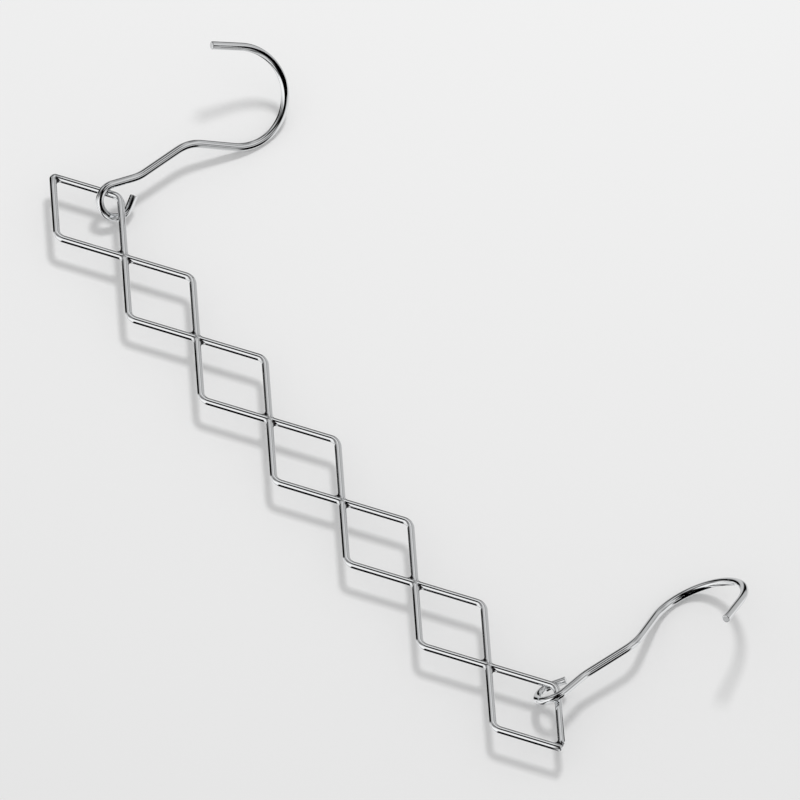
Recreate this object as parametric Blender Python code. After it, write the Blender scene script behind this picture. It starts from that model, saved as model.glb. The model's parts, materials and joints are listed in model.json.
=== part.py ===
"""Multi-hole clothes hanger.

Two zigzag wires are pressed and welded into each other where they cross, and so
make a row of diamond cells that coat hangers hook into. A bent-wire hook for the
wardrobe rod is threaded by its open eye on a corner of the first and last cell.

+X runs along the row of cells, +Y points to the hook side and +Z is up. The
hanger lies on its hooks, which lean outwards until their eyes bind on the wire.
"""

from math import acos, cos, pi, radians, sin, tan

import bpy
import numpy as np
from mathutils import Vector

MM = 0.001

# Row of cells
CELL_COUNT = 7
CELL_SIDE = 30.0 * MM
CROSSING_ANGLE = radians(66.7)
CORNER_BEND_RADIUS = 3.0 * MM
TIP_OVERRUN = 1.5 * MM

# Wires
WIRE_DIAMETER = 3.0 * MM
HOOK_WIRE_DIAMETER = 3.4 * MM
WIRE_END_CHAMFER = 0.6 * MM
HOOK_END_CHAMFER = 0.3 * MM
WIRE_SIDES = 12
CHORD_ERROR = 0.02 * MM
SHARP_ANGLE = radians(40.0)

# Gap left between any two pieces, and how far a cutting shape runs past its work
CLEARANCE = 0.3 * MM
CUT_OVERRUN = 2.0 * MM

# Welds
WELD_THICKNESS = 0.6 * MM
WELD_REACH = 0.5 * MM
WELD_SIDES = 32

# Hook, in the order the wire is bent, from the eye to the tip
EYE_TAIL_LENGTH = 5.2 * MM
EYE_RADIUS = 6.95 * MM
EYE_TURN = radians(232.0)
NECK_LENGTH = 9.7 * MM
NECK_BEND_RADIUS = 20.0 * MM
NECK_TURN = radians(17.4)
STEM_LENGTH = 17.7 * MM
STEM_SLOPE = radians(1.9)
SHOULDER_RADIUS = 16.6 * MM
SHOULDER_TURN = radians(37.2)
SHANK_LENGTH = 15.3 * MM
ROD_HOOK_RADIUS = 21.0 * MM
ROD_HOOK_TURN = radians(182.4)
TIP_LENGTH = 13.6 * MM

# Where the eye's centre lies from the top of the bend that it is threaded on, as
# shares of the play that the eye has there
TOWARDS_END_SHARE = 0.10
INTO_CELL_SHARE = 0.54
BELOW_WIRE_SHARE = 0.27
STEEPEST_LEAN = radians(5.0)
FLATTEST_LEAN = radians(85.0)
LEAN_HALVINGS = 40
SAMPLES_PER_RING = 12

# Finish
PLATED_WIRE_COLOUR = (0.80, 0.81, 0.82, 1.0)
PLATED_HOOK_COLOUR = (0.82, 0.83, 0.84, 1.0)
WELD_COLOUR = (0.70, 0.71, 0.72, 1.0)
PLATED_ROUGHNESS = 0.12
WELD_ROUGHNESS = 0.28

# Worked out from the sizes above
WIRE_RADIUS = WIRE_DIAMETER / 2
HOOK_WIRE_RADIUS = HOOK_WIRE_DIAMETER / 2
HALF_ANGLE = CROSSING_ANGLE / 2
CELL_PITCH = 2 * CELL_SIDE * cos(HALF_ANGLE)
CELL_HALF_WIDTH = CELL_SIDE * sin(HALF_ANGLE)
ROW_HALF_LENGTH = CELL_COUNT * CELL_PITCH / 2
BEND_SETBACK = CORNER_BEND_RADIUS * tan(HALF_ANGLE)
END_HOOK_X = ROW_HALF_LENGTH - CELL_PITCH / 2
CORNER_ROUNDING = CORNER_BEND_RADIUS * (1 / cos(HALF_ANGLE) - 1)
EYE_PLAY = EYE_RADIUS - HOOK_WIRE_RADIUS - WIRE_RADIUS - CLEARANCE


# Wire forming

def form_wire(start, heading, moves):
    """Follow a list of bends in a plane; return centreline points and headings.

    A move is (length,) for a straight run, or (radius, turn) for a bend, which
    goes left where turn is positive.
    """
    points = [np.array(start, float)]
    headings = [heading]
    for move in moves:
        if len(move) == 1:
            along = np.array([cos(headings[-1]), sin(headings[-1])])
            points.append(points[-1] + move[0] * along)
            headings.append(headings[-1])
            continue
        radius, turn = move
        side = 1 if turn > 0 else -1
        first = headings[-1]
        centre = points[-1] + side * radius * np.array([-sin(first), cos(first)])
        steps = max(2, round(abs(turn) / (2 * acos(1 - CHORD_ERROR / radius))))
        for step in range(1, steps + 1):
            now = first + turn * step / steps
            points.append(centre - side * radius * np.array([-sin(now), cos(now)]))
            headings.append(now)
    return np.array(points), np.array(headings)


def chamfered(points, headings, radius, chamfers):
    """Add the rings of a chamfer at each end; return points, headings and radii."""
    radii = np.full(len(points), radius)
    for end, chamfer in ((0, chamfers[0]), (-1, chamfers[1])):
        if chamfer == 0:
            continue
        inward = 1 if end == 0 else -1
        along = np.array([cos(headings[end]), sin(headings[end])])
        ring = points[end] + inward * chamfer * along
        where = 1 if end == 0 else len(points) - 1
        points = np.insert(points, where, ring, axis=0)
        headings = np.insert(headings, where, headings[end])
        radii = np.insert(radii, where, radius)
        radii[end] = radius - chamfer
    return points, headings, radii


def tube(points, headings, radii):
    """Sweep a round section along a flat path; return vertices and faces.

    The path lies in the local XY plane. The section has a flat side facing each
    way along Z and each way across the path.
    """
    rings, sides = len(points), WIRE_SIDES
    angle = (np.arange(sides) + 0.5) * 2 * pi / sides
    across = np.stack([np.sin(headings), -np.cos(headings)], axis=1)
    sideways = np.outer(radii, np.cos(angle))
    flat = points[:, None, :] + sideways[:, :, None] * across[:, None, :]
    height = np.outer(radii, np.sin(angle))
    vertices = np.concatenate([flat, height[:, :, None]], axis=2).reshape(-1, 3)
    faces = []
    for ring in range(rings - 1):
        for side in range(sides):
            following = (side + 1) % sides
            lower = ring * sides
            upper = lower + sides
            faces.append((lower + side, upper + side, upper + following, lower + following))
    faces.append(tuple(range(sides)))
    faces.append(tuple(reversed(range((rings - 1) * sides, rings * sides))))
    return vertices, faces


# Scene helpers

def clear_scene():
    for thing in list(bpy.data.objects):
        bpy.data.objects.remove(thing)


def plated(name, colour, roughness):
    """A bright metal finish."""
    material = bpy.data.materials.new(name)
    material.use_nodes = True
    shader = material.node_tree.nodes["Principled BSDF"]
    shader.inputs["Base Color"].default_value = colour
    shader.inputs["Metallic"].default_value = 1.0
    shader.inputs["Roughness"].default_value = roughness
    return material


def add_mesh(name, vertices, faces, material=None):
    mesh = bpy.data.meshes.new(name)
    mesh.from_pydata([tuple(v) for v in vertices], [], faces)
    mesh.update()
    mesh.shade_smooth()
    mesh.set_sharp_from_angle(angle=SHARP_ANGLE)
    piece = bpy.data.objects.new(name, mesh)
    bpy.context.collection.objects.link(piece)
    if material:
        mesh.materials.append(material)
    return piece


def as_cutter(piece):
    """Mark a piece as a cutting shape, which is not part of the hanger."""
    piece.hide_render = True
    piece.display_type = "WIRE"
    return piece


def boolean(piece, cutter, operation):
    modifier = piece.modifiers.new(cutter.name, "BOOLEAN")
    modifier.operation = operation
    modifier.solver = "EXACT"
    modifier.object = cutter


def prism(outline, low, high):
    """Raise a flat outline, given anticlockwise, into a solid from low to high."""
    count = len(outline)
    vertices = [(x, y, low) for x, y in outline] + [(x, y, high) for x, y in outline]
    faces = [tuple(reversed(range(count))), tuple(range(count, 2 * count))]
    for i in range(count):
        j = (i + 1) % count
        faces.append((i, j, j + count, i + count))
    return vertices, faces


def rod(start, heading, length, radius):
    """A straight round bar in the plane of the cells; return vertices and faces."""
    points, headings = form_wire(start, heading, [(length,)])
    return tube(points, headings, np.full(len(points), radius))


# Cells

def crossing_x(crossing):
    return (crossing + 1) * CELL_PITCH - ROW_HALF_LENGTH


def end_heading(end, side):
    """Direction in which a wire leaves the left (-1) or right (1) end of the row."""
    return side * HALF_ANGLE if end < 0 else pi - side * HALF_ANGLE


def zigzag(first_side):
    """Bends of one wire, whose first corner is on the given side of the row.

    The wire reaches past the end point where its end is a tip, and stops on it
    where it butts against the other wire.
    """
    has_left_tip = first_side > 0
    has_right_tip = last_side(first_side) < 0
    half_run = CELL_SIDE - BEND_SETBACK
    moves = [(half_run + (TIP_OVERRUN if has_left_tip else 0),)]
    side = first_side
    for cell in range(CELL_COUNT):
        last = cell == CELL_COUNT - 1
        run = half_run + (TIP_OVERRUN if has_right_tip else 0) if last else 2 * half_run
        moves += [(CORNER_BEND_RADIUS, -side * CROSSING_ANGLE), (run,)]
        side = -side
    heading = first_side * HALF_ANGLE
    start = np.array([-ROW_HALF_LENGTH, 0.0])
    if has_left_tip:
        start = start - TIP_OVERRUN * np.array([cos(heading), sin(heading)])
    points, headings = form_wire(start, heading, moves)
    tips = (WIRE_END_CHAMFER * has_left_tip, WIRE_END_CHAMFER * has_right_tip)
    return chamfered(points, headings, WIRE_RADIUS, tips)


def last_side(first_side):
    return first_side if CELL_COUNT % 2 else -first_side


def weld_outline(margin):
    """Ellipse round the diamond where two wires overlap, grown by a margin."""
    half_length = WIRE_RADIUS / sin(HALF_ANGLE) + WELD_REACH + margin
    half_width = WIRE_RADIUS / cos(HALF_ANGLE) + WELD_REACH + margin
    angles = np.arange(WELD_SIDES) * 2 * pi / WELD_SIDES
    return [(half_length * cos(a), half_width * sin(a)) for a in angles]


def lap_cutter(name, upper):
    """Cutting shape that leaves a wire its upper or lower part at every crossing."""
    lap = WELD_THICKNESS / 2 + CLEARANCE
    beyond = WIRE_RADIUS + CUT_OVERRUN
    low, high = (-beyond, lap) if upper else (-lap, beyond)
    outline = weld_outline(CLEARANCE)
    vertices, faces = [], []
    for crossing in range(CELL_COUNT - 1):
        shifted = [(x + crossing_x(crossing), y) for x, y in outline]
        more_vertices, more_faces = prism(shifted, low, high)
        faces += [tuple(i + len(vertices) for i in face) for face in more_faces]
        vertices += more_vertices
    return as_cutter(add_mesh(name, vertices, faces))


def end_bar(name, end, side, radius, overrun):
    """A bar along the wire that leaves an end of the row on the given side."""
    heading = end_heading(end, side)
    along = np.array([cos(heading), sin(heading)])
    start = np.array([end * ROW_HALF_LENGTH, 0.0]) - overrun * along
    return add_mesh(name, *rod(start, heading, CELL_SIDE / 2 + overrun, radius))


def add_end_weld(end, word, materials, base):
    """The weld at an end of the row; return the shape that copes the butting wire."""
    tip_side = -end
    inner_radius = WIRE_RADIUS + CLEARANCE
    outer_radius = inner_radius + WELD_THICKNESS
    cope_radius = outer_radius + CLEARANCE
    past = cope_radius + CUT_OVERRUN
    inner = end_bar(f"end_weld_{word}_inner", end, tip_side, inner_radius, past)
    outer = end_bar(f"end_weld_{word}_outer", end, tip_side, outer_radius, past)
    cope = end_bar(f"end_cope_{word}", end, tip_side, cope_radius, past)
    weld = end_bar(f"end_weld_{word}", end, -tip_side, WIRE_RADIUS + CLEARANCE / 2, 0)
    weld.data.materials.append(materials["weld"])
    boolean(weld, outer, "INTERSECT")
    boolean(weld, inner, "DIFFERENCE")
    for cutter in (inner, outer, cope):
        as_cutter(cutter)
    for piece in (inner, outer, cope, weld):
        piece.location = base
    return cope


def add_wire(name, first_side, copes, materials, base):
    """One zigzag wire, lapped at every crossing and coped where it butts."""
    wire = add_mesh(name, *tube(*zigzag(first_side)), materials["wire"])
    laps = lap_cutter(f"{name}_laps", first_side > 0)
    wire.location = base
    laps.location = base
    boolean(wire, laps, "DIFFERENCE")
    if first_side < 0:
        boolean(wire, copes[-1], "DIFFERENCE")
    if last_side(first_side) > 0:
        boolean(wire, copes[1], "DIFFERENCE")


def add_cells(materials, base):
    """The two wires, the welds where they cross and the welds at their ends."""
    ends = {-1: "left", 1: "right"}
    copes = {end: add_end_weld(end, word, materials, base) for end, word in ends.items()}
    add_wire("zigzag_wire_upper", 1, copes, materials, base)
    add_wire("zigzag_wire_lower", -1, copes, materials, base)
    for crossing in range(CELL_COUNT - 1):
        nugget = prism(weld_outline(0), -WELD_THICKNESS / 2, WELD_THICKNESS / 2)
        weld = add_mesh(f"cross_weld_{crossing + 1}", *nugget, materials["weld"])
        weld.location = base + Vector((crossing_x(crossing), 0, 0))


# Hooks

def hook_path():
    """Hook bends from tail to tip, in its own plane, measured from the eye's centre.

    The first axis runs along the stem's side and the second towards the rod.
    """
    moves = [
        (EYE_TAIL_LENGTH,),
        (EYE_RADIUS, -EYE_TURN),
        (NECK_LENGTH,),
        (NECK_BEND_RADIUS, NECK_TURN),
        (STEM_LENGTH,),
        (SHOULDER_RADIUS, -SHOULDER_TURN),
        (SHANK_LENGTH,),
        (ROD_HOOK_RADIUS, ROD_HOOK_TURN),
        (TIP_LENGTH,),
    ]
    tail_heading = STEM_SLOPE + EYE_TURN - NECK_TURN
    points, headings = form_wire((0, 0), tail_heading, moves)
    tail = np.array([cos(tail_heading), sin(tail_heading)])
    eye = EYE_TAIL_LENGTH * tail + EYE_RADIUS * np.array([tail[1], -tail[0]])
    return points - eye, headings


def hook_frame(side, lean):
    """Directions of the hook's two in-plane axes and its face, at a given lean."""
    stem = np.array([0.0, 1.0, 0.0])
    rod_side = np.array([side * sin(lean), 0.0, cos(lean)])
    return stem, rod_side, np.cross(stem, rod_side)


def eye_offset(side):
    """From the corner that carries the eye to the eye's centre."""
    shares = np.array([side * TOWARDS_END_SHARE, -INTO_CELL_SHARE, -BELOW_WIRE_SHARE])
    return EYE_PLAY * shares - np.array([0, CORNER_ROUNDING, 0])


def corner_wire():
    """Centreline of the wire round a hook-side corner, measured from that corner."""
    run = CELL_SIDE - BEND_SETBACK
    start = np.array([-CELL_PITCH / 2, -CELL_HALF_WIDTH])
    moves = [(run,), (CORNER_BEND_RADIUS, -CROSSING_ANGLE), (run,)]
    points, _ = form_wire(start, HALF_ANGLE, moves)
    return np.column_stack([points, np.zeros(len(points))])


def nearest_distance(first, second):
    """Least distance from one polyline's points, taken closely, to another polyline."""
    fine = np.linspace(0, len(first) - 1, SAMPLES_PER_RING * len(first))
    index = np.arange(len(first))
    samples = np.column_stack([np.interp(fine, index, first[:, axis]) for axis in range(3)])
    start, run = second[:-1], np.diff(second, axis=0)
    reach = samples[:, None, :] - start[None]
    share = np.clip((reach * run).sum(2) / (run * run).sum(1), 0, 1)
    return np.linalg.norm(reach - share[:, :, None] * run[None], axis=2).min()


def binding_lean():
    """Lean at which the eye comes to its clearance from the corner that carries it."""
    points, _ = hook_path()
    wire = corner_wire()
    touching = WIRE_RADIUS + HOOK_WIRE_RADIUS + CLEARANCE

    def is_clear(lean):
        stem, rod_side, _ = hook_frame(1, lean)
        placed = eye_offset(1) + points[:, :1] * stem + points[:, 1:] * rod_side
        return nearest_distance(placed, wire) > touching

    steep, flat = STEEPEST_LEAN, FLATTEST_LEAN
    for _ in range(LEAN_HALVINGS):
        middle = (steep + flat) / 2
        if is_clear(middle):
            steep = middle
        else:
            flat = middle
    return steep


def hook_mesh(side, lean):
    """Vertices and faces of a hook, from the point where its swivel axis is."""
    points, headings, radii = chamfered(*hook_path(), HOOK_WIRE_RADIUS, (HOOK_END_CHAMFER,) * 2)
    vertices, faces = tube(points, headings, radii)
    stem, rod_side, face = hook_frame(side, lean)
    turned = vertices[:, :1] * stem + vertices[:, 1:2] * rod_side + vertices[:, 2:] * face
    return eye_offset(side) + turned, faces


def main():
    clear_scene()
    materials = {
        "wire": plated("plated_wire", PLATED_WIRE_COLOUR, PLATED_ROUGHNESS),
        "hook": plated("plated_hook_wire", PLATED_HOOK_COLOUR, PLATED_ROUGHNESS),
        "weld": plated("weld", WELD_COLOUR, WELD_ROUGHNESS),
    }
    lean = binding_lean()
    hooks = {"hook_left": (-1, *hook_mesh(-1, lean)), "hook_right": (1, *hook_mesh(1, lean))}
    lowest = min(vertices[:, 2].min() for _, vertices, _ in hooks.values())
    back = CELL_HALF_WIDTH + max(vertices[:, 1].max() for _, vertices, _ in hooks.values())
    front = min(tube(*zigzag(side))[0][:, 1].min() for side in (1, -1))
    base = Vector((0, -(back + front) / 2, -lowest))
    add_cells(materials, base)
    for name, (side, vertices, faces) in hooks.items():
        hook = add_mesh(name, vertices, faces, materials["hook"])
        hook.location = base + Vector((side * END_HOOK_X, CELL_HALF_WIDTH, 0))


main()
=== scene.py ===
"""Multi-hole clothes hanger of bright plated wire, lying on a pale floor.

Two zigzag wires cross in one plane and make a row of diamond cells. A bent-wire rod
hook hangs by its open eye in the first and in the last cell. This script gives the
hanger its finished surfaces, and makes the floor, the light and the camera.
"""

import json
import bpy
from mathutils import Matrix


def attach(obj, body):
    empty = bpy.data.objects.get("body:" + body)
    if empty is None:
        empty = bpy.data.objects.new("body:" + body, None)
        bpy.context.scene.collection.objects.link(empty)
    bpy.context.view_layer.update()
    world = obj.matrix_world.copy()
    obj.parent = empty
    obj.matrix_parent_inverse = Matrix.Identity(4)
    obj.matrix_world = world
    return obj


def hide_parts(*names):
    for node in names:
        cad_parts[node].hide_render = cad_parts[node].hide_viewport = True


bl_info = {
    "name": "Multi-hole clothes hanger",
    "version": (1, 0, 0),
    "blender": (4, 5, 0),
    "location": "3D View > Sidebar > Hanger",
    "description": "Plated wire hanger with a row of cells and two swivelling rod hooks",
    "category": "Add Mesh",
}

from itertools import chain
from math import ceil, cos, pi, radians, sin, tan

import bpy
import numpy as np
from bpy.props import FloatProperty, FloatVectorProperty, IntProperty, PointerProperty
from mathutils import Vector

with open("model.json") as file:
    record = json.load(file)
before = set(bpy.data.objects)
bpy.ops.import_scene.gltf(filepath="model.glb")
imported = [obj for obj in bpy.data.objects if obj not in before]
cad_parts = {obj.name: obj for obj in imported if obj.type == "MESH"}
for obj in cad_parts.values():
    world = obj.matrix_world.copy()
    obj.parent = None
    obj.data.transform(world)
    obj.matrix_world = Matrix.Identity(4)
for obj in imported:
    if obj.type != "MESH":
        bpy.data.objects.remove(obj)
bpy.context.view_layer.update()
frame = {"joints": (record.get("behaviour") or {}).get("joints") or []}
SWIVEL_POINTS = {joint["child"]: np.array(joint["pos_m"]) for joint in frame["joints"]}

MM = 0.001

# How finely the wires are drawn
PATH_STEP = 0.1 * MM
RING_SPACING = 4.0 * MM
RING_TURN = radians(3.0)
WIRE_SIDES = 64
END_RINGS = 8

# A cut end's flat face: radii of its rings, as shares of the whole face
FACE_SHARES = np.array([0.96, 0.6, 0.2])
# Edge rounding of an end that is hidden inside a weld
HIDDEN_ROUNDING = 0.05 * MM

# How finely the weld metal is drawn
FILLET_COLUMNS = 144
FILLET_ROWS = 72
FILLET_HALVINGS = 32
ELBOW_RUNS = 8

# How much of a weld's blend is lost on top, and how late that begins
TOP_BLEND_LOSS = 0.85
TOP_BLEND_POWER = 6

# Drawn lines and slow swell of the plated wire, as noise on a tube of radius one; the
# stretches say how far a millimetre of wire goes along that tube
LINE_STRETCH = 0.012
SWELL_STRETCH = 0.09
LINE_SCALE = 14.0
LINE_DETAIL = 3.0
LINE_ROUGHNESS = 0.6
LINE_HEIGHT = 0.0006
SWELL_HEIGHT = 0.004
LINE_HAZE = 0.05
LINE_TINT = 0.03

# Dimples of a plated weld
DIMPLE_SCALE = 900.0
DIMPLE_HAZE = 0.06
DIMPLE_STRENGTH = 0.3
DIMPLE_HEIGHT = 0.02 * MM

# Depths in a sharp corner between which a weld's colour is darkened as painted shade, and the share
# of its colour left there
SHADE_CORNER_DEPTHS = (0.1, 0.45)
WELD_CORNER_SHADE_SHARE = 0.05

# Floor and camera clipping in metres, and the camera's sensor in millimetres
FLOOR_HALF_SIDE = 15.0
CAMERA_CLIP = (1.0, 40.0)
SENSOR_WIDTH = 36.0

# Bare studio: brightness straight up, level and straight down, and its rise to the right
STUDIO_LEVELS = (0.60, 0.71, 0.66)
STUDIO_TILT = 0.21

# Name: bearing, elevation, roll, half width and half height in degrees, edge, brightness
STUDIO_CARDS = {
    "left softbox": (-125, 20, -6, 38, 54, 0.26, 1.09),
    "front softbox": (3, 51, 21, 3, 19, 0.05, 1.38),
    "right grey board": (40, 15, -33, 35, 37, 0.12, 0.56),
    "front left board": (-45, 14, 89, 23, 22, 0.15, 0.41),
    "left flag": (-55, -13, 83, 39, 18, 0.07, 0.00),
    "left overhead flag": (-87, 55, 6, 17, 35, 0.22, 0.19),
    "overhead flag": (-89, 91, 13, 21, 18, 0.11, 0.00),
    "near left flag": (-142, -42, 11, 7, 51, 0.06, 0.00),
    "front flag": (7, -7, 38, 14, 22, 0.11, 0.00),
    "front right flag": (20, 36, 51, 17, 6, 0.10, 0.25),
    "near flag": (-176, 40, 10, 18, 30, 0.06, 0.01),
    "camera side flag": (148, 42, -6, 22, 13, 0.05, 0.00),
    "near right flag": (151, 46, -36, 20, 25, 0.07, 0.00),
    "right floor flag": (132, -20, 6, 15, 33, 0.08, 0.00),
    "right flag": (158, 2, 15, 7, 37, 0.20, 0.00),
    "front left flag": (-17, 36, -36, 14, 17, 0.21, 0.06),
    "side flag": (92, 19, -40, 11, 23, 0.18, 0.27),
    "far flag": (-17, 12, 0, 10, 13, 0.06, 0.10),
    "left floor board": (-60, -53, -63, 41, 9, 0.05, 0.89),
}
# Soft edge at right angles to a card's middle, behind which it covers nothing
CARD_BACK_EDGE = 0.02

# Name: place in millimetres; turn, tilt and roll in degrees; half sides in millimetres
NEAR_CARDS = {
    "left hook flag": ((-141, 79, 35), (4, 5, -101), (22, 25)),
    "right hook flag": ((176, 44, -16), (-42, -10, 105), (35, 15)),
}


# Sizes and colours

class RowSizes(bpy.types.PropertyGroup):
    """Sizes of the row of cells."""

    cell_count: IntProperty(name="Cells", description="Number of diamond cells", default=7, min=1)
    cell_side: FloatProperty(
        name="Cell side", description="Side of a diamond, corner to corner",
        default=30.0 * MM, unit="LENGTH",
    )
    crossing_angle: FloatProperty(
        name="Crossing angle", description="Angle between the two wires",
        default=radians(66.7), subtype="ANGLE",
    )
    bend_radius: FloatProperty(
        name="Bend radius", description="Radius of a corner, on the wire's centreline",
        default=4.5 * MM, unit="LENGTH",
    )
    bend_easing: FloatProperty(
        name="Bend easing", description="Length over which a run turns into a bend",
        default=1.6 * MM, unit="LENGTH",
    )
    wire_diameter: FloatProperty(
        name="Wire diameter", description="Thickness of the zigzag wires",
        default=3.0 * MM, unit="LENGTH",
    )
    tip_overrun: FloatProperty(
        name="Tip overrun", description="How far the right end's tip runs past the corner",
        default=0.1 * MM, unit="LENGTH",
    )
    tip_rounding: FloatProperty(
        name="Tip rounding", description="Rounding of the edge of a wire's tip",
        default=1.1 * MM, unit="LENGTH",
    )
    butt_setback: FloatProperty(
        name="Butt setback", description="From the right corner to where the other wire's "
        "rounded end begins", default=3.4 * MM, unit="LENGTH",
    )
    elbow_radius: FloatProperty(
        name="Elbow radius", description="Radius of the welded corner at the left end, on the "
        "wires' centreline", default=0.76 * MM, unit="LENGTH",
    )
    fillet_blend: FloatProperty(
        name="Fillet blend", description="Width over which weld metal joins two wires",
        default=1.0 * MM, unit="LENGTH",
    )
    sharp_corner_share: FloatProperty(
        name="Sharp corner share", description="How much wider the weld metal is in the sharp "
        "corners", default=1.6, min=0.0,
    )
    plus_x_corner_share: FloatProperty(
        name="+X corner share", description="How much of that widening the sharp corner on a "
        "joint's +X side has", default=0.55, min=0.0, max=1.0,
    )
    fillet_reach: FloatProperty(
        name="Fillet reach", description="How far a weld's skin reaches along the wires",
        default=5.2 * MM, unit="LENGTH",
    )
    skin_depth: FloatProperty(
        name="Skin depth", description="How far a weld's skin lies under the wires it joins",
        default=0.005 * MM, unit="LENGTH",
    )


class HookSizes(bpy.types.PropertyGroup):
    """Sizes of a rod hook, in the order that its wire is bent."""

    wire_diameter: FloatProperty(
        name="Wire diameter", description="Thickness of the hooks' wire",
        default=3.4 * MM, unit="LENGTH",
    )
    end_rounding: FloatProperty(
        name="End rounding", description="Rounding of the edge of a cut end",
        default=0.3 * MM, unit="LENGTH",
    )
    bend_easing: FloatProperty(
        name="Bend easing", description="Length over which a run turns into a bend",
        default=3.0 * MM, unit="LENGTH",
    )
    tail_length: FloatProperty(
        name="Tail length", description="Straight end past the eye",
        default=5.2 * MM, unit="LENGTH",
    )
    eye_radius: FloatProperty(
        name="Eye radius", description="Radius of the eye, on the wire's centreline",
        default=6.95 * MM, unit="LENGTH",
    )
    eye_turn: FloatProperty(
        name="Eye turn", description="How far the open eye goes round",
        default=radians(232.0), subtype="ANGLE",
    )
    neck_length: FloatProperty(
        name="Neck length", description="Straight run from the eye to the neck's bend",
        default=9.7 * MM, unit="LENGTH",
    )
    neck_radius: FloatProperty(
        name="Neck bend radius", description="Radius of the neck's bend",
        default=20.0 * MM, unit="LENGTH",
    )
    neck_turn: FloatProperty(
        name="Neck turn", description="How far the neck bends back",
        default=radians(17.4), subtype="ANGLE",
    )
    stem_length: FloatProperty(
        name="Stem length", description="Straight run between neck and shoulder",
        default=17.7 * MM, unit="LENGTH",
    )
    stem_slope: FloatProperty(
        name="Stem slope", description="Angle of the stem to the square of the row",
        default=radians(1.9), subtype="ANGLE",
    )
    shoulder_radius: FloatProperty(
        name="Shoulder radius", description="Radius of the shoulder's bend",
        default=16.6 * MM, unit="LENGTH",
    )
    shoulder_turn: FloatProperty(
        name="Shoulder turn", description="How far the shoulder bends away from the rod",
        default=radians(37.2), subtype="ANGLE",
    )
    shank_length: FloatProperty(
        name="Shank length", description="Straight run between shoulder and rod hook",
        default=15.3 * MM, unit="LENGTH",
    )
    rod_radius: FloatProperty(
        name="Rod hook radius", description="Radius of the half-round end",
        default=21.0 * MM, unit="LENGTH",
    )
    rod_turn: FloatProperty(
        name="Rod hook turn", description="How far the half-round end goes round",
        default=radians(182.4), subtype="ANGLE",
    )
    tip_length: FloatProperty(
        name="Tip length", description="Straight tip past the half-round end",
        default=13.6 * MM, unit="LENGTH",
    )
    lean: FloatProperty(
        name="Lean", description="How far the hooks lean outwards from upright",
        default=radians(49.0934), subtype="ANGLE",
    )
    eye_place: FloatVectorProperty(
        name="Eye place", description="Where the eye's middle lies outwards, towards the "
        "hooks and upwards from the corner that carries it",
        default=(0.345 * MM, -2.454 * MM, -0.932 * MM), subtype="TRANSLATION", size=3,
    )


class Finish(bpy.types.PropertyGroup):
    """Colours and surface of the plated wire."""

    wire_colour: FloatVectorProperty(
        name="Wire colour", description="Plating of the zigzag wires",
        default=(0.80, 0.81, 0.82), subtype="COLOR", size=3,
    )
    hook_colour: FloatVectorProperty(
        name="Hook colour", description="Plating of the rod hooks",
        default=(0.82, 0.83, 0.84), subtype="COLOR", size=3,
    )
    weld_colour: FloatVectorProperty(
        name="Weld colour", description="Plating over the welds",
        default=(0.76, 0.77, 0.78), subtype="COLOR", size=3,
    )
    wire_roughness: FloatProperty(
        name="Wire roughness", description="Haze of the plated wire",
        default=0.07, subtype="FACTOR", min=0.0, max=1.0,
    )
    weld_roughness: FloatProperty(
        name="Weld roughness", description="Haze of the plated welds",
        default=0.12, subtype="FACTOR", min=0.0, max=1.0,
    )


class Stage(bpy.types.PropertyGroup):
    """Floor, light and camera."""

    azimuth: FloatProperty(
        name="Azimuth", description="Camera's bearing round the hanger",
        default=radians(52.926), subtype="ANGLE",
    )
    elevation: FloatProperty(
        name="Elevation", description="Camera's height over the horizon",
        default=radians(57.735), subtype="ANGLE",
    )
    aim: FloatVectorProperty(
        name="Aim", description="Point in the middle of the picture",
        default=(6.48 * MM, -0.53 * MM, 23.81 * MM), subtype="TRANSLATION", size=3,
    )
    camera_distance: FloatProperty(
        name="Camera distance", description="From the camera to the point it aims at",
        default=12.0, unit="LENGTH",
    )
    picture_width: FloatProperty(
        name="Picture width", description="Width of what the camera sees at that point",
        default=331.5 * MM, unit="LENGTH",
    )
    floor_colour: FloatVectorProperty(
        name="Floor colour", description="Colour of the floor and the background",
        default=(0.83, 0.83, 0.83), subtype="COLOR", size=3,
    )
    sky_level: FloatProperty(
        name="Sky level", description="Even light from all round",
        default=0.70, min=0.0,
    )
    lamp_level: FloatProperty(
        name="Lamp level", description="Light that the lamp adds on the floor",
        default=0.30, min=0.0,
    )
    lamp_place: FloatVectorProperty(
        name="Lamp place", description="Lamp's place over the middle of the row",
        default=(-576.0 * MM, 784.0 * MM, 1542.0 * MM), subtype="TRANSLATION", size=3,
    )
    lamp_size: FloatProperty(
        name="Lamp size", description="Side of the square lamp", default=0.33, unit="LENGTH",
    )


class HangerSettings(bpy.types.PropertyGroup):
    """All settings of the hanger."""

    row: PointerProperty(type=RowSizes)
    hook: PointerProperty(type=HookSizes)
    finish: PointerProperty(type=Finish)
    stage: PointerProperty(type=Stage)


# Paths of the bent wires

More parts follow.
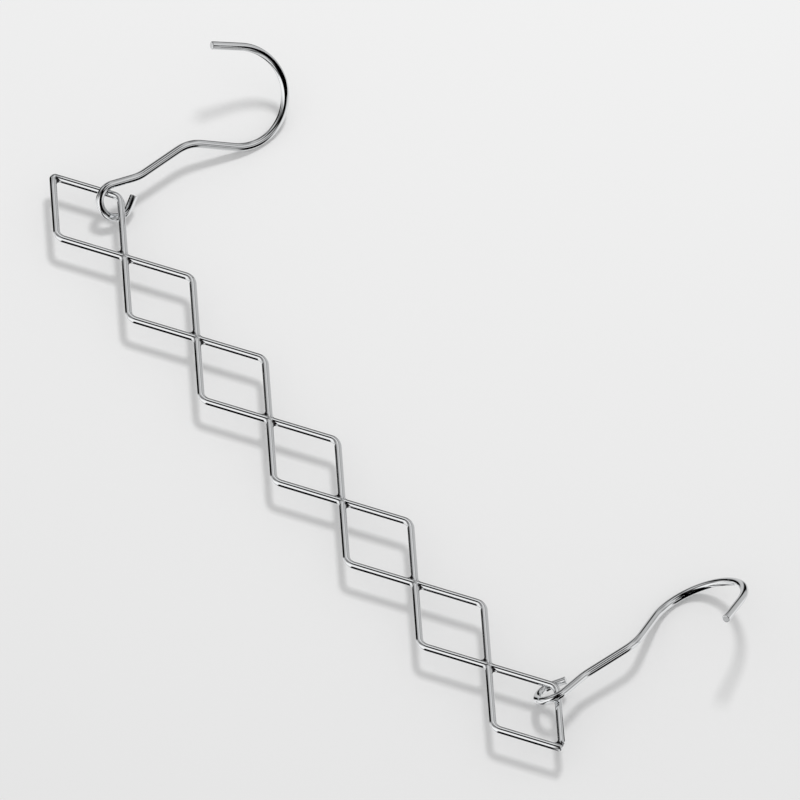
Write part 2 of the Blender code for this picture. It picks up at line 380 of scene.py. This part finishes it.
def bent_path(start, heading, moves):
    """Centreline of a bent wire in its plane, as points a short step apart.

    A move is (length,) for a straight run, or (radius, turn) for a bend, which goes
    left where turn is positive. A run is start + distance * direction. A bend is its
    centre + radius * the direction from the centre, turned by an even share of turn.
    """
    stretches = [np.array([start], float)]
    for move in moves:
        last = stretches[-1][-1]
        if len(move) == 1:
            steps = max(2, ceil(move[0] / PATH_STEP))
            reach = move[0] * np.arange(1, steps + 1) / steps
            stretches.append(last + reach[:, None] * np.array([cos(heading), sin(heading)]))
            continue
        radius, turn = move
        side = 1 if turn > 0 else -1
        outward = side * radius * np.array([sin(heading), -cos(heading)])
        steps = max(2, ceil(abs(turn) * radius / PATH_STEP))
        angle = turn * np.arange(1, steps + 1) / steps
        across = np.stack([-outward[1] * np.ones(steps), outward[0] * np.ones(steps)], axis=1)
        stretches.append(
            last - outward + np.cos(angle)[:, None] * outward + np.sin(angle)[:, None] * across
        )
        heading += turn
    return np.concatenate(stretches)


def eased(points, easing):
    """The path with the joins of its runs and bends eased.

    The path is read again at even steps. Each point is then the mean of its
    neighbours within half the easing length, weighted by a raised cosine. Beyond its
    ends the path goes on straight.
    """
    length = np.concatenate([[0], np.cumsum(np.linalg.norm(np.diff(points, axis=0), axis=1))])
    count = ceil(length[-1] / PATH_STEP)
    even = np.linspace(0, length[-1], count + 1)
    points = np.stack([np.interp(even, length, points[:, axis]) for axis in range(2)], axis=1)
    half = max(1, round(easing / 2 / PATH_STEP))
    beyond = np.arange(1, half + 1)[:, None]
    before = points[0] - (beyond * (points[1] - points[0]))[::-1]
    after = points[-1] + beyond * (points[-1] - points[-2])
    padded = np.concatenate([before, points, after])
    weights = 1 + np.cos(pi * np.arange(-half, half + 1) / (half + 1))
    weights /= weights.sum()
    return np.stack([np.convolve(padded[:, axis], weights, "valid") for axis in range(2)], axis=1)


def rings_along(points):
    """Ring places, directions and distances along a path, close where it bends.

    The measure length / ring spacing + turn / ring turn is summed along the path, and
    the rings stand at even steps of it.
    """
    runs = np.diff(points, axis=0)
    lengths = np.linalg.norm(runs, axis=1)
    headings = np.unwrap(np.arctan2(runs[:, 1], runs[:, 0]))
    headings = np.concatenate([headings[:1], (headings[1:] + headings[:-1]) / 2, headings[-1:]])
    travelled = np.concatenate([[0], np.cumsum(lengths)])
    turned = np.concatenate([[0], np.cumsum(np.abs(np.diff(headings)))])
    measure = travelled / RING_SPACING + turned / RING_TURN
    even = np.linspace(0, measure[-1], ceil(measure[-1]) + 1)
    places = np.stack([np.interp(even, measure, points[:, axis]) for axis in range(2)], axis=1)
    heading = np.interp(even, measure, headings)
    return places, heading, np.interp(even, measure, travelled)


def end_rings(last_ring, inward, rounding):
    """Rings of a cut end whose edge is rounded, which take the place of its last ring.

    The edge is a quarter circle, set back rounding * (1 - sin) with a radius of
    radius - rounding * (1 - cos), then the flat face goes in to near its middle. A
    ring is a row of its place, heading, distance and radius. The wire's inside lies
    along its heading where inward is 1, and against it where inward is -1.
    """
    heading, radius = last_ring[2], last_ring[4]
    angle = np.linspace(0, pi / 2, END_RINGS)
    setback = np.concatenate([rounding * (1 - np.sin(angle)), np.zeros(len(FACE_SHARES))])
    rings = np.tile(last_ring, (len(setback), 1))
    rings[:, :4] += inward * setback[:, None] * np.array([cos(heading), sin(heading), 0, 1])
    edge_radii = radius - rounding * (1 - np.cos(angle))
    rings[:, 4] = np.concatenate([edge_radii, (radius - rounding) * FACE_SHARES])
    return rings


# Meshes

def add_piece(name, vertices, faces, corner_uv, material):
    """A smooth mesh object at the origin, with its place in its mesh."""
    mesh = bpy.data.meshes.new(name)
    mesh.from_pydata(vertices.tolist(), [], faces)
    if corner_uv is not None:
        mesh.uv_layers.new(name="UVMap").data.foreach_set("uv", corner_uv.ravel())
    mesh.shade_smooth()
    mesh.materials.append(material)
    mesh.validate()
    mesh.update()
    piece = bpy.data.objects.new(name, mesh)
    bpy.context.scene.collection.objects.link(piece)
    return piece


def swept_wire(points, easing, radius, roundings, axes):
    """A round wire along a flat path; return vertices, faces and corner UVs.

    A vertex is its ring's place + ring radius * (cos(angle) * across + sin(angle) *
    normal of the plane). axes holds the plane's origin, its two directions and its
    normal. roundings holds the edge rounding of the first and the last end. U goes
    round the wire and V is the distance along it in millimetres.
    """
    places, heading, travelled = rings_along(eased(points, easing))
    rings = np.column_stack([places, heading, travelled, np.full(len(places), radius)])
    start = end_rings(rings[0], 1, roundings[0])[::-1]
    end = end_rings(rings[-1], -1, roundings[1])
    rings = np.concatenate([start, rings[1:-1], end])
    x, y, heading, travelled, radii = (column[:, None] for column in rings.T)
    origin, first_axis, second_axis, normal = axes
    centre = origin + x * first_axis + y * second_axis
    across = np.sin(heading) * first_axis - np.cos(heading) * second_axis
    angle = (np.arange(WIRE_SIDES) * 2 * pi / WIRE_SIDES)[:, None]
    spoke = np.cos(angle) * across[:, None] + np.sin(angle) * normal
    skin = centre[:, None] + radii[:, None] * spoke
    vertices = np.concatenate([skin.reshape(-1, 3), centre[:1], centre[-1:]])
    return (vertices, *tube_faces(len(rings), WIRE_SIDES, travelled[:, 0] / MM))


def tube_faces(rings, sides, travelled):
    """Faces and corner UVs of a tube of rings, closed by a fan round a pole at each end.

    The vertices are counted ring * sides + side, and the two poles come last. U is
    side / sides and V is the ring's distance.
    """
    ring, side = np.meshgrid(np.arange(rings - 1), np.arange(sides), indexing="ij")
    ring, side = ring.ravel(), side.ravel()
    following = (side + 1) % sides
    low, high = ring * sides, (ring + 1) * sides
    quads = np.stack([low + side, high + side, high + following, low + following], axis=1)
    left, right = side / sides, (side + 1) / sides
    near, far = travelled[ring], travelled[ring + 1]
    quad_uv = np.stack([left, near, left, far, right, far, right, near], axis=1).reshape(-1, 2)
    around = np.arange(sides)
    beyond = (around + 1) % sides
    last = (rings - 1) * sides
    start_pole, end_pole = np.full(sides, rings * sides), np.full(sides, rings * sides + 1)
    start_fan = np.stack([around, beyond, start_pole], axis=1)
    end_fan = np.stack([last + beyond, last + around, end_pole], axis=1)
    u, v = around / sides, (around + 1) / sides
    middle = (u + v) / 2
    start_travel, end_travel = np.full(sides, travelled[0]), np.full(sides, travelled[-1])
    start_uv = np.stack([u, start_travel, v, start_travel, middle, start_travel], axis=1)
    end_uv = np.stack([v, end_travel, u, end_travel, middle, end_travel], axis=1)
    faces = quads.tolist() + start_fan.tolist() + end_fan.tolist()
    corner_uv = np.concatenate([quad_uv, start_uv.reshape(-1, 2), end_uv.reshape(-1, 2)])
    return faces, corner_uv


def weld_skin(centre, runs, row, corner_shares, elbow=()):
    """Skin of the weld metal where two wires meet; return vertices, faces and corner UVs.

    Every grid point lies in its own direction from the centre, given by an azimuth
    and an elevation, at the distance where the field below is nought, which is found
    by halving. The field is a soft least of the distances to the two wires, less
    their radius, so that it rounds out the corners between them. It stays just under
    the wires elsewhere, and ends at a sphere inside them. The metal is wider in the
    sharp corners, by the squared cosine of the azimuth times the share of the -X or
    the +X corner, and narrower on top. An elbow is a row of short runs that are part
    of the metal. V is how deep a vertex lies in a sharp corner, from nought to one.
    """
    radius = row.wire_diameter / 2
    azimuth = np.arange(FILLET_COLUMNS) * 2 * pi / FILLET_COLUMNS
    elevation = (np.arange(1, FILLET_ROWS) / FILLET_ROWS - 0.5) * pi
    elevation = np.concatenate([elevation, [-pi / 2, pi / 2]])
    level = np.cos(elevation)[:, None, None]
    flat = np.stack([np.cos(azimuth), np.sin(azimuth), np.zeros(FILLET_COLUMNS)], axis=1)
    height = np.sin(elevation)[:, None, None] * np.array([0.0, 0.0, 1.0])
    direction = level * flat + height
    minus_x_share, plus_x_share = corner_shares
    side_share = np.where(np.cos(azimuth) < 0, minus_x_share, plus_x_share)
    sharpness = side_share * np.cos(azimuth) ** 2

    def distance(points, start, end):
        """From each point to the nearest one of the run, less the wire's radius."""
        run = end - start
        share = np.clip(((points - start) @ run) / (run @ run), 0, 1)
        return np.linalg.norm(points - start - share[..., None] * run, axis=-1) - radius

    def field_and_depth(reach):
        """The field at a distance in every direction, and how deep that is in a corner."""
        points = reach[..., None] * direction
        first, second = (distance(points, *run) for run in runs)
        top_share = np.clip(np.abs(points[..., 2]) / radius, 0, 1) ** TOP_BLEND_POWER
        sharp_share = 1 + row.sharp_corner_share * sharpness
        blend = row.fillet_blend * sharp_share * (1 - TOP_BLEND_LOSS * top_share)
        overlap = np.clip(1 - np.abs(first - second) / blend, 0, 1)
        soft = np.minimum(first, second) - overlap**2 * blend / 4
        for run in elbow:
            soft = np.minimum(soft, distance(points, *run))
        field = np.maximum(soft + row.skin_depth, reach - row.fillet_reach)
        return field, overlap * sharpness * (1 - top_share)

    inside = np.zeros(direction.shape[:2])
    outside = np.full(direction.shape[:2], row.fillet_reach + MM)
    for _ in range(FILLET_HALVINGS):
        middle = (inside + outside) / 2
        within = field_and_depth(middle)[0] < 0
        inside = np.where(within, middle, inside)
        outside = np.where(within, outside, middle)
    skin = centre + inside[..., None] * direction
    rows = FILLET_ROWS - 1
    vertices = np.concatenate([skin[:rows].reshape(-1, 3), skin[rows, :1], skin[rows + 1, :1]])
    faces, _ = tube_faces(rows, FILLET_COLUMNS, np.zeros(rows))
    # The rings climb here, so the tube's faces are turned to point outwards
    faces = [face[::-1] for face in faces]
    # This corner depth goes into V, where the weld's finish reads it to paint shade in the sharp
    # corners
    depth = np.append(field_and_depth(inside)[1][:rows].ravel(), (0, 0))
    corner_depth = depth[np.fromiter(chain.from_iterable(faces), int)]
    return vertices, faces, np.stack([np.zeros(len(corner_depth)), corner_depth], axis=1)


# Row of cells

def half_angle(row):
    """Angle of a wire's run to the row, half the crossing angle."""
    return row.crossing_angle / 2


def cell_pitch(row):
    """From one crossing to the next, twice the cell's side times cos(half angle)."""
    return 2 * row.cell_side * cos(half_angle(row))


def elbow_setback(row):
    """From the left corner to where its elbow meets a wire, radius / tan(half angle)."""
    return row.elbow_radius / tan(half_angle(row))


def elbow_runs(row):
    """Short straight runs along the elbow's arc, from the left corner.

    The arc's middle lies radius / sin(half angle) along the row, and the arc goes
    from one wire round the left side to the other.
    """
    middle = row.elbow_radius / sin(half_angle(row)) * np.array([1.0, 0.0, 0.0])
    angle = np.linspace(pi / 2 + half_angle(row), 3 * pi / 2 - half_angle(row), ELBOW_RUNS + 1)
    places = middle + row.elbow_radius * np.stack([np.cos(angle), np.sin(angle), 0 * angle], axis=1)
    return list(zip(places[:-1], places[1:]))


def row_centre(row):
    """Middle of the row: the mean of the two swivel points, less half a cell's height."""
    between = (SWIVEL_POINTS["left_hook"] + SWIVEL_POINTS["right_hook"]) / 2
    return between - np.array([0, row.cell_side * sin(half_angle(row)), 0])


def zigzag_path(row, first_side):
    """Centreline of a zigzag wire whose first corner is on the given side of the row.

    Runs and corner bends take turns. A bend shortens each run beside it by its radius
    * tan(half angle). At the left end both wires start at the welded elbow. At the
    right end one wire has its tip and the other stops short of it.
    """
    setback = row.bend_radius * tan(half_angle(row))
    half_run = row.cell_side - setback
    last_side = first_side if row.cell_count % 2 else -first_side
    butt_overrun = row.wire_diameter / 2 - row.butt_setback
    end_overrun = row.tip_overrun if last_side < 0 else butt_overrun
    heading = first_side * half_angle(row)
    start = np.array([-row.cell_count * cell_pitch(row) / 2, 0.0])
    start = start + elbow_setback(row) * np.array([cos(heading), sin(heading)])
    moves = [(half_run - elbow_setback(row),)]
    side = first_side
    for cell in range(row.cell_count):
        last = cell == row.cell_count - 1
        run = half_run + end_overrun if last else 2 * half_run
        moves += [(row.bend_radius, -side * row.crossing_angle), (run,)]
        side = -side
    return bent_path(start, heading, moves)


def row_axes(row):
    """Origin, two directions and normal of the plane that the cells lie in."""
    return row_centre(row), np.array([1.0, 0, 0]), np.array([0, 1.0, 0]), np.array([0, 0, 1.0])


def along(angle):
    """Level direction at an angle to the row: cos, sin, nought."""
    return np.array([cos(angle), sin(angle), 0.0])


# Rod hooks

def hook_path(hook):
    """Centreline of a hook from its tail to its tip, measured from the middle of its eye.

    The first axis runs square to the row, towards the rod hook, and the second to the
    side that the rod hook turns to. The eye's middle lies its radius to the right of
    where the straight tail ends.
    """
    moves = [
        (hook.tail_length,),
        (hook.eye_radius, -hook.eye_turn),
        (hook.neck_length,),
        (hook.neck_radius, hook.neck_turn),
        (hook.stem_length,),
        (hook.shoulder_radius, -hook.shoulder_turn),
        (hook.shank_length,),
        (hook.rod_radius, hook.rod_turn),
        (hook.tip_length,),
    ]
    heading = hook.stem_slope + hook.eye_turn - hook.neck_turn
    tail = np.array([cos(heading), sin(heading)])
    eye = hook.tail_length * tail + hook.eye_radius * np.array([tail[1], -tail[0]])
    return bent_path(-eye, heading, moves)


def hook_axes(hook, side, swivel):
    """Origin, two directions and normal of the plane of the hook on the given side.

    The plane is upright across the row, turned outwards by the lean.
    """
    origin = swivel + np.array(hook.eye_place) * np.array([side, 1, 1])
    stem = np.array([0.0, 1.0, 0.0])
    rod_side = np.array([side * sin(hook.lean), 0.0, cos(hook.lean)])
    return origin, stem, rod_side, np.cross(stem, rod_side)


# Finishes

class Signal:
    """A shader socket that takes part in Python sums, each of which adds a Math node.

    One that is made from a node tree alone has no socket, and only adds nodes.
    """

    def __init__(self, tree, socket=None):
        self.tree = tree
        self.socket = socket

    def add(self, kind, settings=None, inputs=None, output=0):
        """Add a node of a kind: its settings first, then its sockets' values or links."""
        node = self.tree.nodes.new(kind)
        for name, value in (settings or {}).items():
            setattr(node, name, value)
        for key, value in (inputs or {}).items():
            if isinstance(value, Signal):
                self.tree.links.new(value.socket, node.inputs[key])
            else:
                node.inputs[key].default_value = value
        return Signal(self.tree, node.outputs[output])

    def output(self, name):
        """Another output of the node that this one comes from."""
        return Signal(self.tree, self.socket.node.outputs[name])

    def feed(self, socket):
        """Link this one to a socket."""
        self.tree.links.new(self.socket, socket)

    def maths(self, operation, *values):
        """This one and any further values, put through a Math node."""
        inputs = dict(enumerate((self, *values)))
        return self.add("ShaderNodeMath", {"operation": operation}, inputs)

    def __add__(self, other):
        return self.maths("ADD", other)

    def __sub__(self, other):
        return self.maths("SUBTRACT", other)

    def __rsub__(self, other):
        return self.add("ShaderNodeMath", {"operation": "SUBTRACT"}, {0: other, 1: self})

    def __mul__(self, other):
        return self.maths("MULTIPLY", other)

    __radd__ = __add__
    __rmul__ = __mul__

    def __abs__(self):
        return self.maths("ABSOLUTE")

    def dot(self, vector):
        """How far this direction goes along a vector."""
        inputs = {0: self, 1: tuple(vector)}
        return self.add("ShaderNodeVectorMath", {"operation": "DOT_PRODUCT"}, inputs, "Value")

    def eased_step(self, low, high):
        """Nought below low, one above high, and a smooth rise between them."""
        inputs = {"Value": self, "From Min": low, "From Max": high}
        return self.add("ShaderNodeMapRange", {"interpolation_type": "SMOOTHSTEP"}, inputs)

    def blend(self, low_colour, high_colour):
        """The first colour where this one is nought, and the second where it is one."""
        inputs = {"Factor": self, "A": (*low_colour, 1), "B": (*high_colour, 1)}
        return self.add("ShaderNodeMix", {"data_type": "RGBA"}, inputs, "Result")


def scaled(colour, share):
    """A colour with each of its parts times a share."""
    return [part * share for part in colour]


def new_surface(name, constants):
    """A new material, its shader with the given constants, and a start for its nodes."""
    material = bpy.data.materials.new(name)
    material.use_nodes = True
    shader = material.node_tree.nodes["Principled BSDF"]
    for socket, value in constants.items():
        shader.inputs[socket].default_value = value
    return material, shader, Signal(material.node_tree)


def plated(name, colour, roughness):
    """Bright plating over drawn wire.

    UV is turned into a point on a tube, so that the fine drawn lines run along the
    wire and meet round it. They vary the haze and lift the surface a little, and a
    slow swell along the wire bends its reflections.
    """
    material, shader, nodes = new_surface(name, {"Metallic": 1.0})
    uv = nodes.add("ShaderNodeTexCoord", output="UV")
    parts = nodes.add("ShaderNodeSeparateXYZ", inputs={0: uv})
    around = parts.output("X") * (2 * pi)
    distance = parts.output("Y")
    ring = {"X": around.maths("COSINE"), "Y": around.maths("SINE")}
    on_tube = nodes.add("ShaderNodeCombineXYZ", inputs={**ring, "Z": distance * LINE_STRETCH})
    line_inputs = {
        "Vector": on_tube, "Scale": LINE_SCALE, "Detail": LINE_DETAIL, "Roughness": LINE_ROUGHNESS,
    }
    lines = nodes.add("ShaderNodeTexNoise", inputs=line_inputs)
    on_long_tube = nodes.add("ShaderNodeCombineXYZ", inputs={**ring, "Z": distance * SWELL_STRETCH})
    swell_inputs = {"Vector": on_long_tube, "Scale": 1.0, "Detail": 1.0}
    swell = nodes.add("ShaderNodeTexNoise", inputs=swell_inputs)
    haze = lines * LINE_HAZE + (roughness - LINE_HAZE / 2)
    haze.feed(shader.inputs["Roughness"])
    tint = lines.blend(scaled(colour, 1 - LINE_TINT), scaled(colour, 1 + LINE_TINT))
    tint.feed(shader.inputs["Base Color"])
    height = lines * LINE_HEIGHT + swell * SWELL_HEIGHT
    bump_inputs = {"Height": height, "Strength": 1.0, "Distance": MM}
    nodes.add("ShaderNodeBump", inputs=bump_inputs).feed(shader.inputs["Normal"])
    return material


def welded(name, colour, roughness):
    """Plating over a weld, a little duller and faintly dimpled.

    Its colour is darkened deep in the sharp corners, where V of the UV map is high, as painted
    shade.
    """
    material, shader, nodes = new_surface(name, {"Metallic": 1.0})
    uv = nodes.add("ShaderNodeTexCoord", output="UV")
    parts = nodes.add("ShaderNodeSeparateXYZ", inputs={0: uv})
    # Painted shade: the weld's colour goes dark deep in the sharp corners
    depth = parts.output("Y").eased_step(*SHADE_CORNER_DEPTHS)
    depth.blend(colour, scaled(colour, WELD_CORNER_SHADE_SHARE)).feed(shader.inputs["Base Color"])
    place = nodes.add("ShaderNodeTexCoord", output="Object")
    dimple_inputs = {"Vector": place, "Scale": DIMPLE_SCALE, "Detail": 2.0}
    dimples = nodes.add("ShaderNodeTexNoise", inputs=dimple_inputs)
    haze = dimples * DIMPLE_HAZE + (roughness - DIMPLE_HAZE / 2)
    haze.feed(shader.inputs["Roughness"])
    bump_inputs = {"Height": dimples, "Strength": DIMPLE_STRENGTH, "Distance": DIMPLE_HEIGHT}
    nodes.add("ShaderNodeBump", inputs=bump_inputs).feed(shader.inputs["Normal"])
    return material


def finish_named(name, make, *values):
    """The material of that name, made first if there is none yet."""
    return bpy.data.materials.get(name) or make(name, *values)


# Operators

class HANGER_OT_add_zigzag_wires(bpy.types.Operator):
    """Add the two zigzag wires that cross to make the cells"""

    bl_idname = "hanger.add_zigzag_wires"
    bl_label = "Zigzag wires"

    def execute(self, context):
        settings = context.scene.hanger
        row = settings.row
        radius = row.wire_diameter / 2
        finish = finish_named(
            "bright_plated_wire", plated, settings.finish.wire_colour[:],
            settings.finish.wire_roughness,
        )
        wires = (
            ("frame_wire_first", "zigzag_wire_upper", 1),
            ("frame_wire_second", "zigzag_wire_lower", -1),
        )
        roundings = (HIDDEN_ROUNDING, row.tip_rounding)
        for name, node, first_side in wires:
            shape = swept_wire(
                zigzag_path(row, first_side), row.bend_easing, radius, roundings, row_axes(row)
            )
            wire = add_piece(name, *shape, finish)
            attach(wire, "frame")
            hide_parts(node)
        return {"FINISHED"}


class HANGER_OT_add_cross_fillets(bpy.types.Operator):
    """Add the skin of weld metal at each crossing of the two wires"""

    bl_idname = "hanger.add_cross_fillets"
    bl_label = "Cross fillets"

    def execute(self, context):
        settings = context.scene.hanger
        row = settings.row
        finish = finish_named(
            "plated_weld", welded, settings.finish.weld_colour[:], settings.finish.weld_roughness
        )
        reach = row.cell_side / 2
        runs = [
            (-reach * along(angle), reach * along(angle))
            for angle in (half_angle(row), -half_angle(row))
        ]
        first_x = cell_pitch(row) * (1 - row.cell_count / 2)
        for crossing in range(row.cell_count - 1):
            place = row_centre(row) + np.array([first_x + crossing * cell_pitch(row), 0, 0])
            shape = weld_skin(place, runs, row, (1, row.plus_x_corner_share))
            fillet = add_piece(f"cross_fillet_{crossing + 1}", *shape, finish)
            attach(fillet, "frame")
            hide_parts(f"cross_weld_{crossing + 1}")
        return {"FINISHED"}


class HANGER_OT_add_end_fillets(bpy.types.Operator):
    """Add the skin of weld metal where each wire's end butts against the other wire"""

    bl_idname = "hanger.add_end_fillets"
    bl_label = "End fillets"

    def execute(self, context):
        settings = context.scene.hanger
        row = settings.row
        finish = finish_named(
            "plated_weld", welded, settings.finish.weld_colour[:], settings.finish.weld_roughness
        )
        reach = row.cell_side / 2
        half_length = row.cell_count * cell_pitch(row) / 2
        tip_start = row.wire_diameter / 2 - row.tip_overrun
        half = half_angle(row)
        left_starts = ((half, elbow_setback(row)), (-half, elbow_setback(row)))
        right_starts = ((pi + half, tip_start), (pi - half, row.butt_setback))
        ends = (
            ("left", -1, left_starts, (0, row.plus_x_corner_share), elbow_runs(row)),
            ("right", 1, right_starts, (1, 0), ()),
        )
        for word, end, starts, corner_shares, elbow in ends:
            runs = [(start * along(angle), reach * along(angle)) for angle, start in starts]
            place = row_centre(row) + np.array([end * half_length, 0, 0])
            shape = weld_skin(place, runs, row, corner_shares, elbow)
            fillet = add_piece(f"end_fillet_{word}", *shape, finish)
            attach(fillet, "frame")
            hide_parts(f"end_weld_{word}")
        return {"FINISHED"}


class HANGER_OT_add_rod_hooks(bpy.types.Operator):
    """Add the two rod hooks, each threaded on a corner near its end of the row"""

    bl_idname = "hanger.add_rod_hooks"
    bl_label = "Rod hooks"

    def execute(self, context):
        settings = context.scene.hanger
        hook = settings.hook
        finish = finish_named(
            "bright_plated_hook", plated, settings.finish.hook_colour[:],
            settings.finish.wire_roughness,
        )
        roundings = (hook.end_rounding, hook.end_rounding)
        for side, word in ((-1, "left"), (1, "right")):
            body = f"{word}_hook"
            axes = hook_axes(hook, side, SWIVEL_POINTS[body])
            shape = swept_wire(
                hook_path(hook), hook.bend_easing, hook.wire_diameter / 2, roundings, axes
            )
            piece = add_piece(f"rod_hook_{word}", *shape, finish)
            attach(piece, body)
            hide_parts(f"hook_{word}")
        return {"FINISHED"}


class HANGER_OT_add_stage(bpy.types.Operator):
    """Add the floor, the light and the camera"""

    bl_idname = "hanger.add_stage"
    bl_label = "Stage"

    def execute(self, context):
        stage = context.scene.hanger.stage
        add_floor(stage)
        light_world(context.scene, stage)
        add_near_cards()
        add_lamp(context.scene.hanger)
        add_camera(context.scene, stage)
        context.scene.view_settings.view_transform = "Standard"
        return {"FINISHED"}


# Stage

def add_board(name, middle, across, up, constants):
    """A flat board whose corners are its middle +- across +- up."""
    signs = np.array([(-1, -1), (1, -1), (1, 1), (-1, 1)])
    corners = np.array(middle) + signs[:, :1] * np.array(across) + signs[:, 1:] * np.array(up)
    material = new_surface(name, constants)[0]
    return add_piece(name, corners, [(0, 1, 2, 3)], None, material)


def add_floor(stage):
    """A pale level floor, which polished metal doesn't mirror."""
    constants = {
        "Base Color": (*stage.floor_colour, 1), "Roughness": 1.0, "Specular IOR Level": 0.0,
    }
    half = FLOOR_HALF_SIDE
    floor = add_board("floor", (0, 0, 0), (half, 0, 0), (0, half, 0), constants)
    floor.visible_glossy = False


def bearing_vector(stage, bearing, elevation):
    """Direction at a bearing from the camera's line of sight, right of it if positive.

    Its level part is the line's, turned by the bearing, times cos(elevation), and its
    height is sin(elevation).
    """
    turned = stage.azimuth - bearing
    return Vector((-sin(turned) * cos(elevation), cos(turned) * cos(elevation), sin(elevation)))


def light_world(scene, stage):
    """Even light, with a pale background and a plain studio for the metal to mirror."""
    world = bpy.data.worlds.new("studio")
    scene.world = world
    world.use_nodes = True
    nodes = Signal(world.node_tree)
    rays = nodes.add("ShaderNodeLightPath")
    floor_level = stage.floor_colour[1]
    level = stage.sky_level + rays.output("Is Camera Ray") * (floor_level - stage.sky_level)
    level = level + rays.output("Is Glossy Ray") * (studio_level(nodes, stage) - level)
    level.feed(world.node_tree.nodes["Background"].inputs["Color"])
    world.cycles.sampling_method = "NONE"


def rolled(across, up, roll):
    """Two directions square to each other, both turned by a roll in their plane."""
    return cos(roll) * across + sin(roll) * up, cos(roll) * up - sin(roll) * across


def card_cover(direction, stage, angles, edge):
    """How much of each direction a studio card covers, from nought to one.

    It covers the directions on its own side whose parts across and up are less than
    the sines of its half width and half height, with a soft edge.
    """
    bearing, elevation, roll, half_width, half_height = (radians(angle) for angle in angles)
    middle = bearing_vector(stage, bearing, elevation)
    level_across = bearing_vector(stage, bearing + pi / 2, 0)
    across, up = rolled(level_across, level_across.cross(middle), roll)
    return (
        (sin(half_width) - abs(direction.dot(across))).eased_step(-edge, edge)
        * (sin(half_height) - abs(direction.dot(up))).eased_step(-edge, edge)
        * direction.dot(middle).eased_step(-CARD_BACK_EDGE, CARD_BACK_EDGE)
    )


def studio_level(nodes, stage):
    """Brightness of the studio in each direction.

    The bare studio's level goes evenly with height, from the level at the horizon to
    the ones straight up and straight down, and rises to the right. Where a card
    covers a direction, the level goes over to the card's.
    """
    direction = nodes.add("ShaderNodeTexCoord", output="Generated")
    height = direction.dot((0, 0, 1))
    above, level_with, below = STUDIO_LEVELS
    level = level_with + height.maths("MAXIMUM", 0.0) * (above - level_with)
    level = level - height.maths("MINIMUM", 0.0) * (below - level_with)
    level = level + direction.dot(bearing_vector(stage, pi / 2, 0)) * STUDIO_TILT
    for *angles, edge, card_level in STUDIO_CARDS.values():
        level = level + card_cover(direction, stage, angles, edge) * (card_level - level)
    return level


def add_near_cards():
    """Small black cards close to the hooks, seen by nothing but polished metal.

    A card faces where its turn and tilt say. Its sides are the level direction square
    to that and the one square to both, turned by its roll.
    """
    constants = {"Base Color": (0, 0, 0, 1), "Specular IOR Level": 0.0}
    for name, (place, turns, (half_width, half_height)) in NEAR_CARDS.items():
        turn, tilt, roll = (radians(angle) for angle in turns)
        facing = Vector((cos(turn) * cos(tilt), sin(turn) * cos(tilt), sin(tilt)))
        level_side = Vector((-sin(turn), cos(turn), 0))
        across, up = rolled(level_side, facing.cross(level_side), roll)
        middle = Vector(place) * MM
        card = add_board(name, middle, across * half_width * MM, up * half_height * MM, constants)
        card.visible_camera = False
        card.visible_diffuse = False
        card.visible_shadow = False


def add_lamp(settings):
    """A square soft lamp over the row, turned to its middle.

    Its power is the level on the floor * pi * pi * distance squared / the share of
    its height in its distance.
    """
    stage = settings.stage
    lamp = bpy.data.lights.new("softlight", "AREA")
    lamp.size = stage.lamp_size
    offset = Vector(stage.lamp_place)
    height_share = offset.z / offset.length
    lamp.energy = stage.lamp_level * pi * pi * offset.length_squared / height_share
    holder = bpy.data.objects.new("softlight", lamp)
    holder.location = Vector(row_centre(settings.row)) + offset
    holder.rotation_euler = offset.to_track_quat("Z", "Y").to_euler()
    holder.visible_glossy = False
    bpy.context.scene.collection.objects.link(holder)


def add_camera(scene, stage):
    """A camera with a very long lens, at the picture's angle.

    The lens is the sensor's width * the camera's distance / the picture's width.
    """
    camera = bpy.data.cameras.new("camera")
    camera.sensor_width = SENSOR_WIDTH
    camera.lens = SENSOR_WIDTH * stage.camera_distance / stage.picture_width
    camera.clip_start, camera.clip_end = CAMERA_CLIP
    towards = -bearing_vector(stage, 0, -stage.elevation)
    holder = bpy.data.objects.new("camera", camera)
    holder.location = Vector(stage.aim) + stage.camera_distance * towards
    holder.rotation_euler = towards.to_track_quat("Z", "Y").to_euler()
    scene.collection.objects.link(holder)
    scene.camera = holder


# Add-on

OPERATORS = (
    HANGER_OT_add_zigzag_wires,
    HANGER_OT_add_cross_fillets,
    HANGER_OT_add_end_fillets,
    HANGER_OT_add_rod_hooks,
    HANGER_OT_add_stage,
)


class HANGER_PT_build(bpy.types.Panel):
    """Lists the hanger's pieces and settings"""

    bl_label = "Multi-hole clothes hanger"
    bl_idname = "HANGER_PT_build"
    bl_space_type = "VIEW_3D"
    bl_region_type = "UI"
    bl_category = "Hanger"

    def draw(self, context):
        for operator in OPERATORS:
            self.layout.operator(operator.bl_idname)
        settings = context.scene.hanger
        for group in (settings.row, settings.hook, settings.finish, settings.stage):
            box = self.layout.box()
            for name in group.__annotations__:
                box.prop(group, name)


CLASSES = (
    RowSizes, HookSizes, Finish, Stage, HangerSettings, *OPERATORS, HANGER_PT_build,
)


def register():
    for each in CLASSES:
        bpy.utils.register_class(each)
    bpy.types.Scene.hanger = PointerProperty(type=HangerSettings)


def unregister():
    del bpy.types.Scene.hanger
    for each in reversed(CLASSES):
        bpy.utils.unregister_class(each)


def main():
    register()
    bpy.ops.hanger.add_zigzag_wires()
    bpy.ops.hanger.add_cross_fillets()
    bpy.ops.hanger.add_end_fillets()
    bpy.ops.hanger.add_rod_hooks()
    bpy.ops.hanger.add_stage()


if __name__ == "__main__":
    main()
